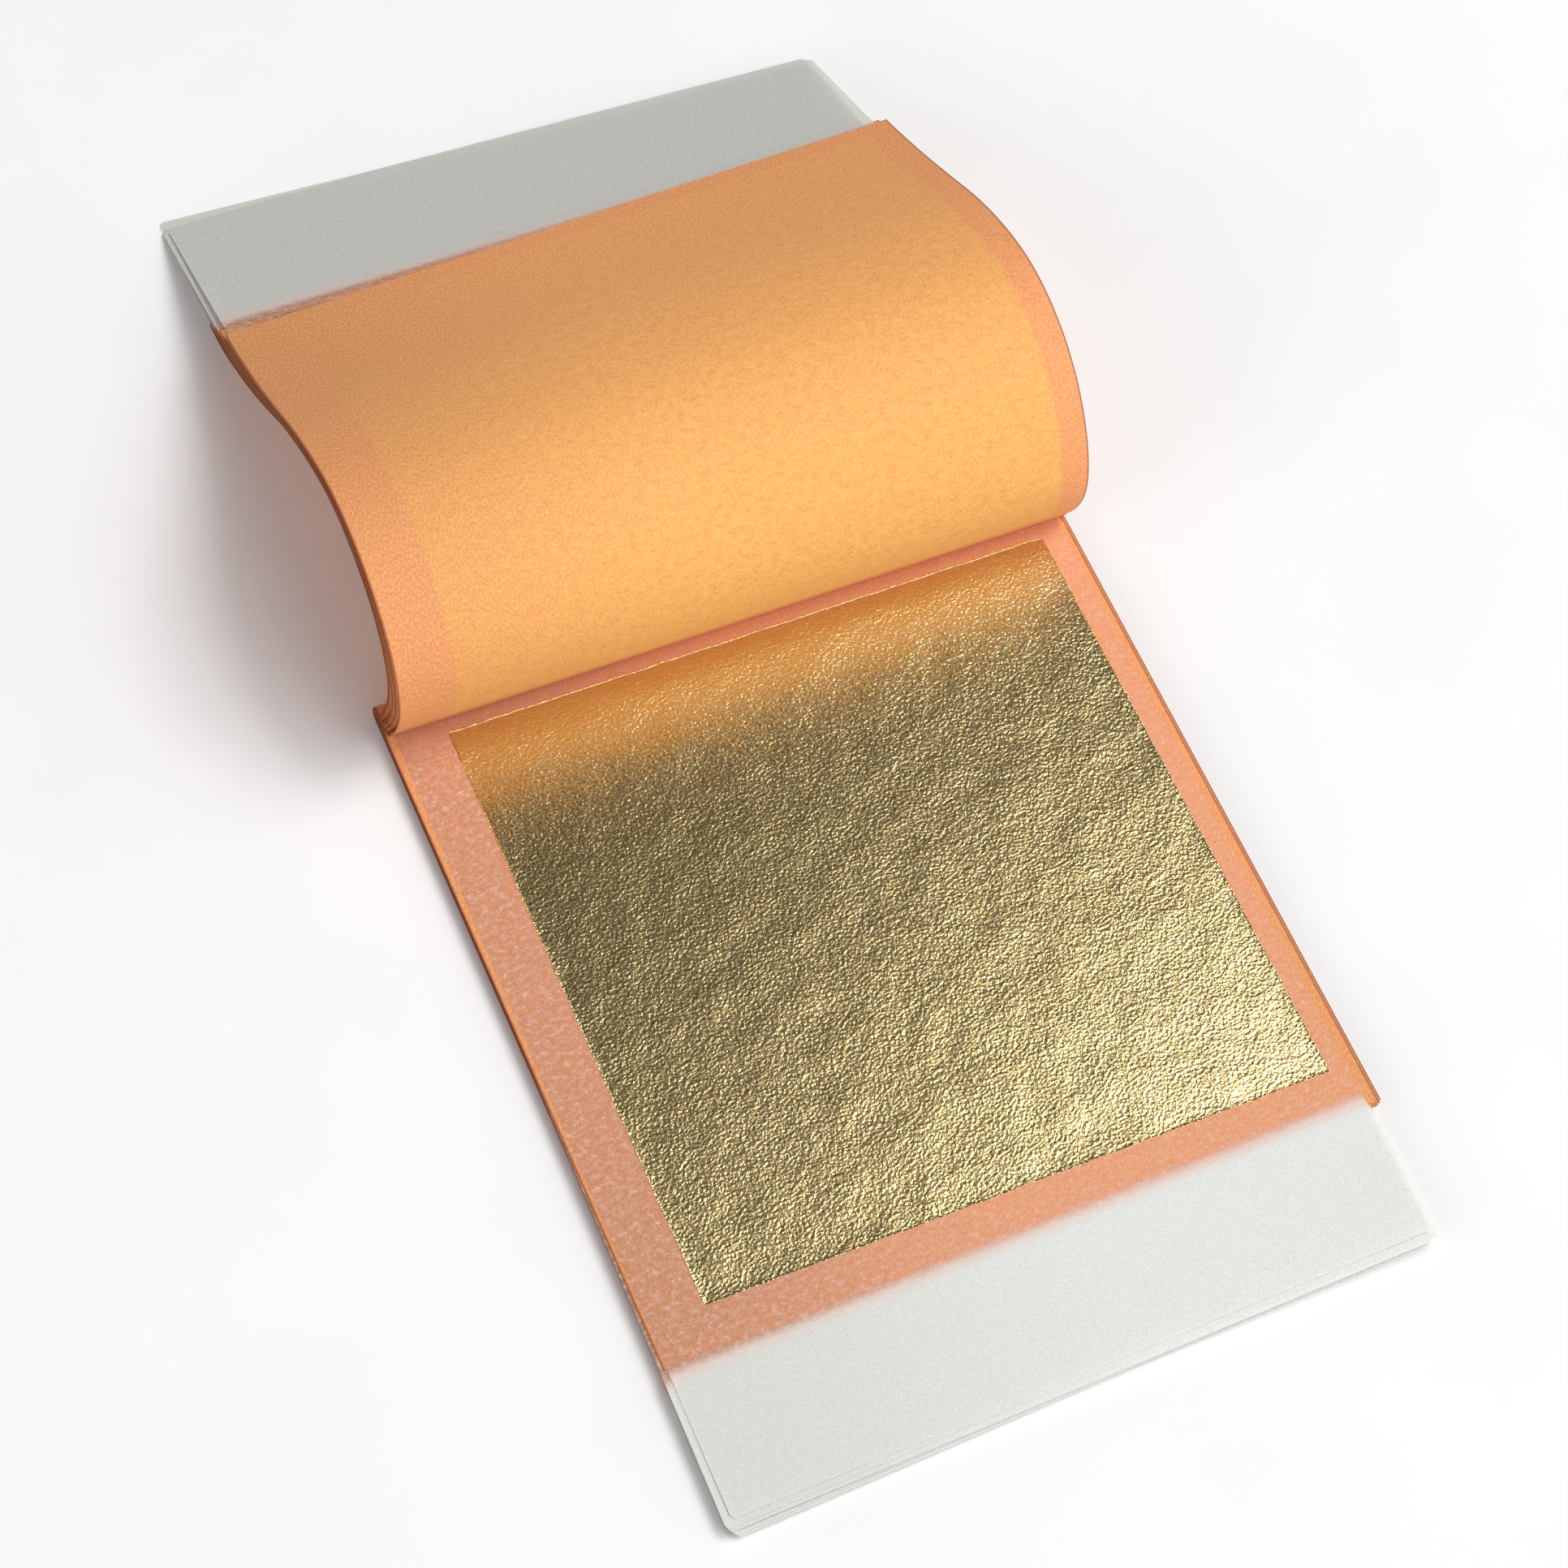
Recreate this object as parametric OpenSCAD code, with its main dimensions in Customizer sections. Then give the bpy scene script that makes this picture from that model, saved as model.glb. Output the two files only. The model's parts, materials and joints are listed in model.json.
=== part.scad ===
// Gold leaf booklet, lying open on a table with part of its pages turned back over the spine.
// Millimetres. X runs along the spine, +Y towards the turned pages and +Z up.
// The origin lies on the table, under the middle of the turning page's crease.
//
// Folded rouged sheets are nested and sewn through the fold, so each makes two pages.
// A loose carrier tissue with one gold leaf lies between each two pages.
// Pages count from the front of the booklet, and the last turned page is the turning page.

/* [Gold leaf] */
// Side of the square leaf
leaf_side = 80; // [60:1:84]
// Thickness given to a leaf, which is really a tenth of a micron
leaf_t = 0.005; // [0.003:0.001:0.01]
// From the spine's back edge to the leaf
leaf_inset = 6.6; // [5.5:0.1:9]
// How far the leaf sits to the right of the booklet's middle
leaf_shift = 1.6; // [0:0.1:2]

/* [Rouged sheets] */
// Folded sheets in the booklet
sheet_count = 13; // [11:1:16]
// Length of a page from the spine's back edge to its free edge
page_l = 92.5; // [89:0.5:115]
// Width of a page along the spine
page_w = 91; // [87:0.5:110]
// Thickness of the paper
page_t = 0.05; // [0.04:0.005:0.09]

/* [Carrier tissues] */
// How far the tab of a tissue reaches past the free edge of the page
tab_l = 18.6; // [6:0.1:25]
// From the side of the page to the side of a tissue
tissue_margin = 0.9; // [0.5:0.1:3]
// Thickness of a tissue
tissue_t = 0.025; // [0.02:0.005:0.05]
// From the spine's back edge to a tissue
tissue_inset = 3.8; // [3:0.1:5]
// How far tissues lie out of line with each other
stagger = 0.4; // [0:0.1:0.6]
// Air left between a leaf and the page above it
sheet_air = 0.005; // [0.003:0.001:0.02]

/* [Sewing] */
// Diameter of the thread
thread_d = 0.2; // [0.15:0.01:0.3]
// Play of the thread in its holes and in the innermost fold
thread_play = 0.02; // [0.01:0.01:0.05]
// Stitch holes in the fold
stitch_count = 5; // [3:2:5]
// Distance between stitch holes
stitch_pitch = 16; // [8:0.5:17]
// Loose tail of the thread past the end holes
thread_tail = 6; // [2:0.5:8]

/* [Turned pages] */
// Pages turned back over the spine
turned = 6; // [3:1:7]
// How far the innermost turned page lies flat from its fold to its crease
crease_run = 0.2; // [0.1:0.1:1]
// Heading of the turning page as it leaves the crease, from +Y
crease_heading = 129; // [128:0.5:133]
// Room between the turning page and the sheets behind it
turning_gap = 0.45; // [0.3:0.05:0.6]
// Loose lower tissues that each slide by themselves
sliding = 7; // [3:1:8]

/* [Hidden] */
// Page length that the curl below was measured on, so that it grows with the page
curl_page_l = 92.5;
curl_k = page_l / curl_page_l;
// Stretches of the curl from the crease on: length in mm and turn in degrees.
// The last four bring the tissues' tabs down and lay them flat on the table.
bends = [
    [14, 43], [14, 48.5], [20, 46], [14, 22.5], [6, -0.5], [19, -4],
    [6, 13], [10, 0], [8, -39.5], [60, 0]
];
// Places along the curl where the turning page hinges
strip_ends = [6, 12, 18, 24, 31, 39, 48, 60];
// Thickness of the turned pages as they lie: place along the curl and thickness in mm
bundle = [[0, 2.5], [15, 2.5], [38, 1.35], [62, 1.35], [92, 8.5], [109, 1.5]];
// Step along the curl
curl_step = 2.5 * curl_k;
// Step round a fold in degrees
fold_step = 15;
// Where a turned tissue starts, past the crease
turned_start = 1;
// Degrees from one tissue to the next, for how they lie out of line along X and along Y
stagger_turns = [137, 71];
// Sides of the thread and its holes
round_fn = 24;

tissue_l = page_l - tissue_inset + tab_l;
tissue_w = page_w - 2 * tissue_margin;
// The curl is drawn long enough for the page and for the tissue
curl_l = max(page_l, turned_start + 2 * stagger + tissue_l) + curl_step;
page_count = 2 * sheet_count;
pitch = page_t + tissue_t + leaf_t + sheet_air;
// Half the opening of the innermost fold, which holds the thread
fold_r = thread_d / 2 + thread_play;
middle_extra = 2 * fold_r - (pitch - page_t);
leaf_from_tissue = leaf_inset - tissue_inset;
strip_count = len(strip_ends) + 1;
hole_r = (thread_d + thread_play) / 2;
paper_colour = "#e08a50";
tissue_colour = "#cfd3cb";
gold_colour = "#c8a24a";

// Height of the underside of the page that has j pages below it
function level(j) = j * pitch + (j >= sheet_count ? middle_extra : 0);
// Underside of page k, and the top of its sheet's other half
function page_z(k) = level(page_count - k);
function other_half_z(k) = level(k - 1) + page_t;
fold_z = (page_z(1) + other_half_z(1)) / 2;
fold_y = -fold_z;
// From the spine's back edge to the crease of the turning page
crease_inset = curl_k * (turning_gap + bundle[0][1]) / sin(crease_heading)
    + (page_z(1) - page_z(turned)) / tan(crease_heading) - fold_y + crease_run;

// Unit vector of a heading, and the one square to it on the right-hand side
function ahead(h) = [cos(h), sin(h)];
function right_of(h) = [sin(h), -cos(h)];
function heading(a, b) = atan2(b[1] - a[1], b[0] - a[0]);

// Point and heading at distance s along the curl, from stretch i on
function along(s, i = 0, p = [-crease_inset, page_z(turned)], h = crease_heading) =
    let (
        stretch = bends[i][0] * curl_k,
        run = min(s, stretch),
        turn = bends[i][1] * run / stretch,
        radius = bends[i][1] == 0 ? 0 : stretch / bends[i][1] * 180 / PI,
        step = bends[i][1] == 0
            ? run * ahead(h)
            : radius * [sin(h) - sin(h - turn), cos(h - turn) - cos(h)]
    )
    s <= stretch ? [p + step, h - turn] : along(s - stretch, i + 1, p + step, h - turn);

// Distance from one turned page to the next at distance s, eased between the stated places
function spread(s) =
    let (
        place = s / curl_k,
        i = max([for (j = [0:len(bundle) - 2]) if (place >= bundle[j][0]) j]),
        from = bundle[i],
        to = bundle[i + 1],
        share = min(1, (place - from[0]) / (to[0] - from[0])),
        thickness = from[1] + (to[1] - from[1]) * (1 - cos(180 * share)) / 2
    )
    thickness / (turned - 1);

// Point at distance s, under the turning page by a number of page spacings
function under(s, pages) =
    let (at = along(s), gap = pages == 0 ? 0 : turning_gap + pages * spread(s))
    at[0] + curl_k * gap * right_of(at[1]);

// The curl at one depth, from distance s on
function curl(s, pages) =
    [for (i = [0:ceil(curl_l / curl_step)]) under(s + i * curl_step, pages)];

// Where the straight foot of turned page k meets its flat start at the spine
function crease(k) =
    let (foot = under(0, turned - k))
    foot - (foot[1] - page_z(k)) / sin(crease_heading) * ahead(crease_heading);

// Length of a path up to its point i
function path_length(path, i) =
    i == 0 ? 0 : path_length(path, i - 1) + norm(path[i] - path[i - 1]);

// The piece of a path between two distances along it
function cut_path(path, from, to) =
    let (
        marks = [for (i = [0:len(path) - 1]) path_length(path, i)],
        at = function (d)
            let (i = max([for (j = [0:len(path) - 2]) if (marks[j] <= d) j]))
            path[i] + (d - marks[i]) * (path[i + 1] - path[i]) / (marks[i + 1] - marks[i]),
        between = [for (i = [0:len(path) - 1]) if (marks[i] > from && marks[i] < to) path[i]]
    )
    concat([at(from)], between, [at(to)]);
function past_first(path) = [for (i = [1:len(path) - 1]) path[i]];

// Outline of a sheet whose faces lie near and far to the right of a path.
// before and after are the headings of what the ends meet, for a mitred joint.
function band(path, near, far, before = undef, after = undef) =
    let (
        last = len(path) - 1,
        h = [for (i = [0:last - 1]) heading(path[i], path[i + 1])],
        start = is_undef(before) ? h[0] : before,
        end = is_undef(after) ? h[last - 1] : after,
        into = [for (i = [0:last]) i == 0 ? start : h[i - 1]],
        out = [for (i = [0:last]) i == last ? end : h[i]],
        mitre = [for (i = [0:last])
            (right_of(into[i]) + right_of(out[i])) / (1 + cos(out[i] - into[i]))]
    )
    concat(
        [for (i = [0:last]) path[i] + near * mitre[i]],
        [for (i = [last:-1:0]) path[i] + far * mitre[i]]
    );

// Upper face of the lower half of sheet k, the inside of its fold and the flat start above it
function folded_path(k) =
    let (r = (page_z(k) - other_half_z(k)) / 2)
    concat(
        [[-page_l, other_half_z(k)]],
        [for (a = [-90:fold_step:90]) [fold_y, fold_z] + r * ahead(a)]
    );

// Outer face of turned page k, from its fold to its free edge
function turned_path(k) =
    let (start = [[fold_y, page_z(k)], crease(k)])
    cut_path(concat(start, curl(curl_step, turned - k)), 0, page_l + fold_y);

// Middle of the turned tissue that lies under page k + 1
function tissue_path(k) =
    let (start = turned_start + stagger + shift(k)[1])
    cut_path(curl(0, turned - 0.5 - k), start, start + tissue_l);

// How far tissue k lies out of line, along X and along Y
function shift(k) = stagger * [sin(stagger_turns[0] * k), sin(stagger_turns[1] * k)];

// Hinge points of the turning page, from its crease to its free edge
hinges = concat(
    [for (s = concat([0], strip_ends)) along(s * curl_k)[0]],
    [along(page_l - crease_inset)[0]]
);
// The parts are drawn from the spine's back edge, then moved to bring the crease over the origin
to_origin = [0, crease_inset, 0];
strip_headings = concat(
    [180],
    [for (i = [0:strip_count - 1]) heading(hinges[i], hinges[i + 1])]
);
echo(
    turning_page_hinges = [for (h = hinges) h + [crease_inset, 0]],
    strip_headings = strip_headings,
    spine_y = crease_inset
);

// Extrudes an outline in the YZ plane along the spine
module along_spine(width, middle = 0)
    translate([middle - width / 2, 0, 0])
        rotate([90, 0, 90])
            linear_extrude(width)
                children();

module stitch_holes()
    for (i = [1:stitch_count])
        translate([stitch_x(i), fold_y, fold_z])
            rotate([-90, 0, 0])
                cylinder(r = hole_r, h = 2 * fold_z, $fn = round_fn);

// A sheet with both its pages: flat below, and above it flat or turned back over the spine
module folded_sheet(k) {
    path = k < turned ? concat(folded_path(k), past_first(turned_path(k)))
        : k == turned ? concat(folded_path(k), [hinges[0]])
        : concat(folded_path(k), [[-page_l, page_z(k)]]);
    color(paper_colour)
        difference() {
            along_spine(page_w)
                polygon(band(path, 0, page_t, after = k == turned ? strip_headings[1] : undef));
            stitch_holes();
        }
}

// One stiff strip of the turning page, hinged to the one before along its outer face
module turning_page_strip(i)
    color(paper_colour)
        along_spine(page_w)
            polygon(band([hinges[i - 1], hinges[i]], 0, page_t,
                strip_headings[i - 1], strip_headings[min(i + 1, strip_count)]));

module turned_tissue(k)
    color(tissue_colour)
        along_spine(tissue_w, shift(k)[0])
            polygon(band(tissue_path(k), -tissue_t / 2, tissue_t / 2));

module turned_leaf(k)
    color(gold_colour)
        along_spine(leaf_side, leaf_shift + shift(k)[0])
            polygon(band(
                cut_path(tissue_path(k), leaf_from_tissue, leaf_from_tissue + leaf_side),
                tissue_t / 2, tissue_t / 2 + leaf_t));

// A loose tissue lying flat on the page below it
module flat_tissue(k)
    color(tissue_colour)
        translate([shift(k)[0] - tissue_w / 2, shift(k)[1] - tissue_inset - tissue_l,
                page_z(k + 1) + page_t])
            cube([tissue_w, tissue_l, tissue_t]);

// The gold leaf lying on that tissue
module flat_leaf(k)
    color(gold_colour)
        translate([shift(k)[0] + leaf_shift - leaf_side / 2, shift(k)[1] - leaf_inset - leaf_side,
                page_z(k + 1) + page_t + tissue_t])
            cube([leaf_side, leaf_side, leaf_t]);

function stitch_x(i) = (i - (stitch_count + 1) / 2) * stitch_pitch;

// Thread that runs in and out through the holes, with both tails inside the innermost fold
module sewing_thread() {
    r = thread_d / 2;
    color("ivory")
        for (i = [0:stitch_count]) {
            outside = i % 2 == 1;
            from = i == 0 ? stitch_x(1) - thread_tail : stitch_x(i);
            to = i == stitch_count ? stitch_x(i) + thread_tail : stitch_x(i + 1);
            y = outside ? r : fold_y;
            translate([from, y, fold_z])
                rotate([0, 90, 0])
                    cylinder(r = r, h = to - from, $fn = round_fn);
            if (i > 0)
                translate([stitch_x(i), fold_y, fold_z]) {
                    rotate([-90, 0, 0])
                        cylinder(r = r, h = r - fold_y, $fn = round_fn);
                    sphere(r = r, $fn = round_fn);
                    translate([0, r - fold_y, 0])
                        sphere(r = r, $fn = round_fn);
                }
        }
}

translate(to_origin) {
    for (k = [1:sheet_count])
        folded_sheet(k);
    for (i = [1:strip_count])
        turning_page_strip(i);
    for (k = [1:turned - 1]) {
        turned_tissue(k);
        turned_leaf(k);
    }
    for (k = [turned:turned + sliding - 1]) {
        flat_tissue(k);
        flat_leaf(k);
    }
    for (k = [turned + sliding:page_count - 1]) flat_tissue(k);  // lower_tissues
    for (k = [turned + sliding:page_count - 1]) flat_leaf(k);  // lower_leaves
    sewing_thread();
}
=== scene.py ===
import json
import bpy
import numpy as np
from mathutils import Matrix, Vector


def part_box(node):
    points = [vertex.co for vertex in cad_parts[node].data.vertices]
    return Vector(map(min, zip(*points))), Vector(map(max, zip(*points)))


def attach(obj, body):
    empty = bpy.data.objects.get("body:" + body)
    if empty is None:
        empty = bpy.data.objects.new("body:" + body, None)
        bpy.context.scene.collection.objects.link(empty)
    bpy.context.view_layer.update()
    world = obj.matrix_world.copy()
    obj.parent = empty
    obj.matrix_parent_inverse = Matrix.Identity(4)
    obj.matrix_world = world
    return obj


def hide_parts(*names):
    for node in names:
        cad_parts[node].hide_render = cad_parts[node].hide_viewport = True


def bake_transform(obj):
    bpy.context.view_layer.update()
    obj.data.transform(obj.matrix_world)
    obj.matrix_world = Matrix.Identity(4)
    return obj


# Gold leaf booklet: orange rouged pages sewn in the fold, with loose tissues that each carry a gold leaf.
# Shapes are worked out in millimetres in the part's own frame: X along the spine, +Y to the turned
# pages, +Z up, and the origin on the table under the turning page's crease.

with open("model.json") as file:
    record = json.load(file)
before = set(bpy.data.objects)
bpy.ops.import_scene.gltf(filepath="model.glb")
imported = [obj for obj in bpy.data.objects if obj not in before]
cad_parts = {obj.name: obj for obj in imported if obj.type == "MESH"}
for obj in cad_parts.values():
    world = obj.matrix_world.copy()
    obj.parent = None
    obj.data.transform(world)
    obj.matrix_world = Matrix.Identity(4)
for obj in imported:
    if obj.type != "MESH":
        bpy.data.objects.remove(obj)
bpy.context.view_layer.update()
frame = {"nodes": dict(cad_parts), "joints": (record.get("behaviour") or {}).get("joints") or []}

# Sizes, in mm

# Folded sheets, counted from the outermost; the sheet with the turning page; tissues that slide alone
SHEETS, TURNED, SLIDING = 13, 6, 7
PAGE_W, TISSUE_W, LEAF = 91.0, 89.2, 80.0
# A turned page from its fold, a tissue from its end by the spine, and the tissue's corner radius
PAGE_L_TURNED, TISSUE_L, TISSUE_CORNER = 91.2, 107.3, 0.7
# Thicknesses a little under the part's, so that the sheets of the stack lie clear of each other
PAGE_T, TISSUE_T, LEAF_T = 0.046, 0.018, 0.004
# Gaps under a tissue and a leaf of the flat stack, under the open leaf, and under a turned leaf
TISSUE_GAP, LEAF_GAP, OPEN_LEAF_GAP, TURNED_LEAF_GAP = 0.007, 0.011, 0.016, 0.02
# One page with its tissue and leaf, and the room between the two middle pages for the thread
PITCH = 0.085
MIDDLE_EXTRA = 0.205
# Centre of the folds, the back of the spine, and the flat pages' free edge
FOLD_Y, FOLD_Z = 3.65, 1.19
SPINE_Y = FOLD_Y + FOLD_Z
PAGE_END_Y = -87.3
# Middle of the leaves along X, and their end by the spine
LEAF_X, LEAF_Y = 1.6, -1.9
# A sheet's own map is in units of this many mm
MAP_UNIT = 100


def level(j):
    """Height of the underside of the page that has j pages below it."""
    return j * PITCH + (MIDDLE_EXTRA if j >= SHEETS else 0)


def page_z(k):
    """Height of the underside of the upper page of sheet k in the flat stack."""
    return level(2 * SHEETS - k)


# Shape helpers


def smooth(t):
    """Eases from 0 to 1 as t goes from 0 to 1: three t squared less two t cubed."""
    t = np.clip(t, 0, 1)
    return t * t * (3 - 2 * t)


def waves(a, b, seed, size):
    """Gentle unevenness between about -1 and 1: the mean of six sines of a and b, whose wavelengths
    are near size and whose directions and starts come from the seed."""
    rng = np.random.default_rng(seed)
    total = 0
    for _ in range(6):
        turn, start = rng.uniform(0, 2 * np.pi, 2)
        rate = 2 * np.pi / (size * rng.uniform(0.6, 1.7))
        total = total + np.sin(rate * (np.cos(turn) * a + np.sin(turn) * b) + start)
    return total / 3


def normals(points):
    """Unit normal of a grid of points: the cross product of its slopes down the rows and across."""
    down, across = np.gradient(points, axis=0), np.gradient(points, axis=1)
    n = np.cross(down, across)
    return n / np.linalg.norm(n, axis=2, keepdims=True)


def rounded(u, row, length, width, radius):
    """Places across a sheet with rounded corners. u runs from -1 to 1 over the width, and near each end
    of the length the half width falls short by radius less the circle's height at that place."""
    near_end = np.minimum(row, length - row)[:, None]
    inside = np.clip(radius - near_end, 0, radius)
    short = radius - np.sqrt(radius**2 - inside**2)
    return u[None, :] * (width / 2 - short)


def rows(length, step, radius=0.0):
    """Places along a sheet: even steps, and closer ones round the corners at each end."""
    even = np.linspace(radius, length - radius, max(2, int(round((length - 2 * radius) / step)) + 1))
    if radius == 0:
        return even
    corner = radius * (1 - np.cos(np.radians([0, 20, 40, 60, 75])))
    return np.concatenate([corner, even, (length - corner)[::-1]])


def sheet(name, points, uv, low, high, mark, material, normal=None):
    """A closed thin sheet. Its faces lie low and high from a grid of points along the grid's normal,
    and a rim joins them. uv is in map units. Corner normals follow the grid, so that cuts across a
    sheet don't show."""
    n_rows, n_cols = points.shape[:2]
    count = n_rows * n_cols
    n = normals(points) if normal is None else normal
    verts = np.concatenate([(points + low * n).reshape(-1, 3), (points + high * n).reshape(-1, 3)]) / 1000
    index = np.arange(count).reshape(n_rows, n_cols)
    a, b, c, d = index[:-1, :-1], index[1:, :-1], index[1:, 1:], index[:-1, 1:]
    upper = np.stack([a, b, c, d], -1).reshape(-1, 4) + count
    lower = np.stack([d, c, b, a], -1).reshape(-1, 4)
    edge = np.concatenate([index[:-1, 0], index[-1, :-1], index[:0:-1, -1], index[0, :0:-1]])
    ahead = np.roll(edge, -1)
    rim = np.stack([ahead + count, edge + count, edge, ahead], -1)
    faces = np.concatenate([upper, lower, rim])
    face_on = n.reshape(-1, 3)
    edge_on = np.cross(verts[rim[:, 1]] - verts[rim[:, 0]], verts[rim[:, 2]] - verts[rim[:, 0]])
    edge_on /= np.maximum(np.linalg.norm(edge_on, axis=1, keepdims=True), 1e-12)
    corner_normals = np.concatenate([face_on[upper.ravel() - count], -face_on[lower.ravel()],
                                     np.repeat(edge_on, 4, 0)])

    mesh = bpy.data.meshes.new(name)
    mesh.vertices.add(len(verts))
    mesh.vertices.foreach_set("co", verts.astype(np.float32).ravel())
    mesh.loops.add(faces.size)
    mesh.loops.foreach_set("vertex_index", faces.ravel().astype(np.int32))
    mesh.polygons.add(len(faces))
    mesh.polygons.foreach_set("loop_start", np.arange(0, faces.size, 4, dtype=np.int32))
    mesh.update(calc_edges=True)
    layer = mesh.uv_layers.new(name="Sheet")
    both = np.concatenate([uv.reshape(-1, 2)] * 2)
    layer.uv.foreach_set("vector", both[faces.ravel()].astype(np.float32).ravel())
    mesh.validate()
    mesh.normals_split_custom_set(corner_normals.tolist())
    mesh.materials.append(material)
    piece = bpy.data.objects.new(name, mesh)
    bpy.context.scene.collection.objects.link(piece)
    return piece


# The curl of the turned pages

# Heading in degrees from +Y at places along the page from its crease, for its left and right edges.
# The foot of the turning page itself leans a little less than theirs.
CURL_S = [0, 14, 28, 48, 62, 68, 87, 125]
LEFT_HEADING = [122.5, 87.5, 30.8, -21.3, -33.2, -33.2, -20.4, -20.4]
RIGHT_HEADING = [124.5, 79.0, 39.4, -15.0, -30.7, -30.7, -25.9, -25.9]
LEFT_LEAN, RIGHT_LEAN = 1.7, 2.2
# Paths run this far from the crease, in fine steps
PATH_END, FINE = 125, 0.1
# Thickness of the turned bundle behind the turning page, left and right
BUNDLE_S = [0, 8, 18, 30, 42, 62, 90, 112, 125]
LEFT_BUNDLE = [2.5, 3.0, 3.0, 1.8, 1.0, 0.8, 3.6, 0.45, 0.4]
RIGHT_BUNDLE = [2.5, 2.7, 2.6, 1.6, 1.0, 1.0, 5.0, 0.8, 0.7]
# Least gap under the turning page
FIRST_GAP = 0.22


def width_share(x):
    """0 at the page's left edge and 1 at its right one, in proportion to x."""
    return np.clip(x / PAGE_W + 0.5, 0, 1)


def side_mix(x, left, right):
    """Blends from a left value to a right one in proportion to x over the page's width."""
    share = width_share(x)
    return left[:, None] * (1 - share) + right[:, None] * share


def curl_path(x, folded):
    """Fine path of the turning page's outer face at each x: y and z are the running sums of the cosine
    and sine of its heading. folded adds the flat start from the fold, at heading 180."""
    if folded:
        s = np.arange(-FOLD_Y, PATH_END, FINE)
        knots = [-FOLD_Y, -0.7, 0.7] + CURL_S[1:]
        left = [180, 180, LEFT_HEADING[0] - LEFT_LEAN] + LEFT_HEADING[1:]
        right = [180, 180, RIGHT_HEADING[0] - RIGHT_LEAN] + RIGHT_HEADING[1:]
    else:
        s, knots, left, right = np.arange(0, PATH_END, FINE), CURL_S, LEFT_HEADING, RIGHT_HEADING
    # headings are eased over a window that opens to 3 mm each way past the crease
    reach = 3 * smooth((s - 1.5) / 6)
    shifted = [s + d * reach for d in np.linspace(-1, 1, 9)]
    h = np.radians(np.mean([side_mix(x, np.interp(at, knots, left), np.interp(at, knots, right))
                            for at in shifted], axis=0))
    middle = (h[1:] + h[:-1]) / 2
    start = np.zeros((1, len(x)))
    y = (FOLD_Y if folded else 0) + np.concatenate([start, np.cumsum(np.cos(middle) * FINE, 0)])
    z = page_z(TURNED) + np.concatenate([start, np.cumsum(np.sin(middle) * FINE, 0)])
    # the face moves in square to its heading, so that the page clears the stack when it is turned flat
    at, share = s[:, None], width_share(x)[None, :]
    by_crease = 0.32 * smooth(at / 1.2) * smooth((12 - at) / 8)
    past_crease = (0.12 + 0.36 * share) * smooth((at - 10) / 14)
    inward = by_crease + past_crease
    return s, y + inward * np.sin(h), z - inward * np.cos(h), h


def running_mean(a, reach):
    """Each value replaced by the mean of its neighbours down the column, as far as reach each way."""
    padded = np.concatenate([a[:1]] * reach + [a] + [a[-1:]] * reach)
    total = np.concatenate([np.zeros((1, a.shape[1])), np.cumsum(padded, 0)])
    return (total[2 * reach + 1:] - total[:-2 * reach - 1]) / (2 * reach + 1)


def under_curl(x, pages):
    """Fine path of a turned sheet that lies a number of pages under the turning page: each point of its
    outer face moves square to its heading, by a gap and that share of the bundle's thickness."""
    s, y, z, h = curl_path(x, False)
    left, right = np.interp(s, BUNDLE_S, LEFT_BUNDLE), np.interp(s, BUNDLE_S, RIGHT_BUNDLE)
    bundle = running_mean(side_mix(x, left, right), 30)
    depth = FIRST_GAP * np.minimum(pages, 1) + bundle * pages / (TURNED - 1)
    return y + depth * np.sin(h), z - depth * np.cos(h), h


def sample(fine, place):
    """Values of a fine column at places along it, counted in fine steps, by straight interpolation."""
    i = np.clip(np.floor(place).astype(int), 0, len(fine) - 2)
    share = place - i
    low, high = np.take_along_axis(fine, i, 0), np.take_along_axis(fine, i + 1, 0)
    return low * (1 - share) + high * share


def running_length(y, z):
    """Distance along each column of a path from its first point."""
    step = np.hypot(np.diff(y, axis=0), np.diff(z, axis=0))
    return np.concatenate([np.zeros((1, y.shape[1])), np.cumsum(step, 0)])


def ease(a, reach):
    """The running mean of a path's columns, with its ends kept."""
    mean = running_mean(a, reach)
    mean[0], mean[-1] = a[0], a[-1]
    return mean


def turned_page_path(x, k):
    """Fine path of turned page k from its fold: flat at its own height, up a straight foot along the
    curl's first heading, then along the curl. Its corner is eased."""
    y, z, h = under_curl(x, TURNED - k)
    rise = (z[0] - page_z(k)) / np.sin(h[0])
    crease_y = y[0] - rise * np.cos(h[0])
    flat_t, foot_t = np.linspace(0, 1, 30)[:, None], np.linspace(0, 1, 16)[1:-1, None]
    flat_y = FOLD_Y + (crease_y - FOLD_Y) * flat_t
    foot_y = crease_y + (y[0] - crease_y) * foot_t
    foot_z = page_z(k) + (z[0] - page_z(k)) * foot_t
    whole_y = np.concatenate([flat_y, foot_y, y])
    whole_z = np.concatenate([np.full_like(flat_y, page_z(k)), foot_z, z])
    return ease(whole_y, 5), ease(whole_z, 5)


def grid(x, y, z):
    """Points from places across, back and up."""
    return np.stack(np.broadcast_arrays(x, y, z), -1)


def sheet_map(x, s, shift=0.0):
    """A sheet's own map: across it and along it from its end by the spine, in map units. x is a grid
    and s its rows."""
    return np.stack([x / MAP_UNIT + shift, np.broadcast_to(s[:, None] / MAP_UNIT, x.shape)], -1)


def sheet_jitter(k, spread):
    """How far sheet k lies out of line along X."""
    return spread * np.sin(np.radians(137 * k + 40))


def stack_lift(x):
    """The flat stack's slow rise and fall along the spine, the same for every sheet: a raised left and
    right side and a shallow wave."""
    return 0.10 * (x / 45) ** 2 + 0.03 * (1 + np.sin(x / 11 + 1))


# Materials


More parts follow.
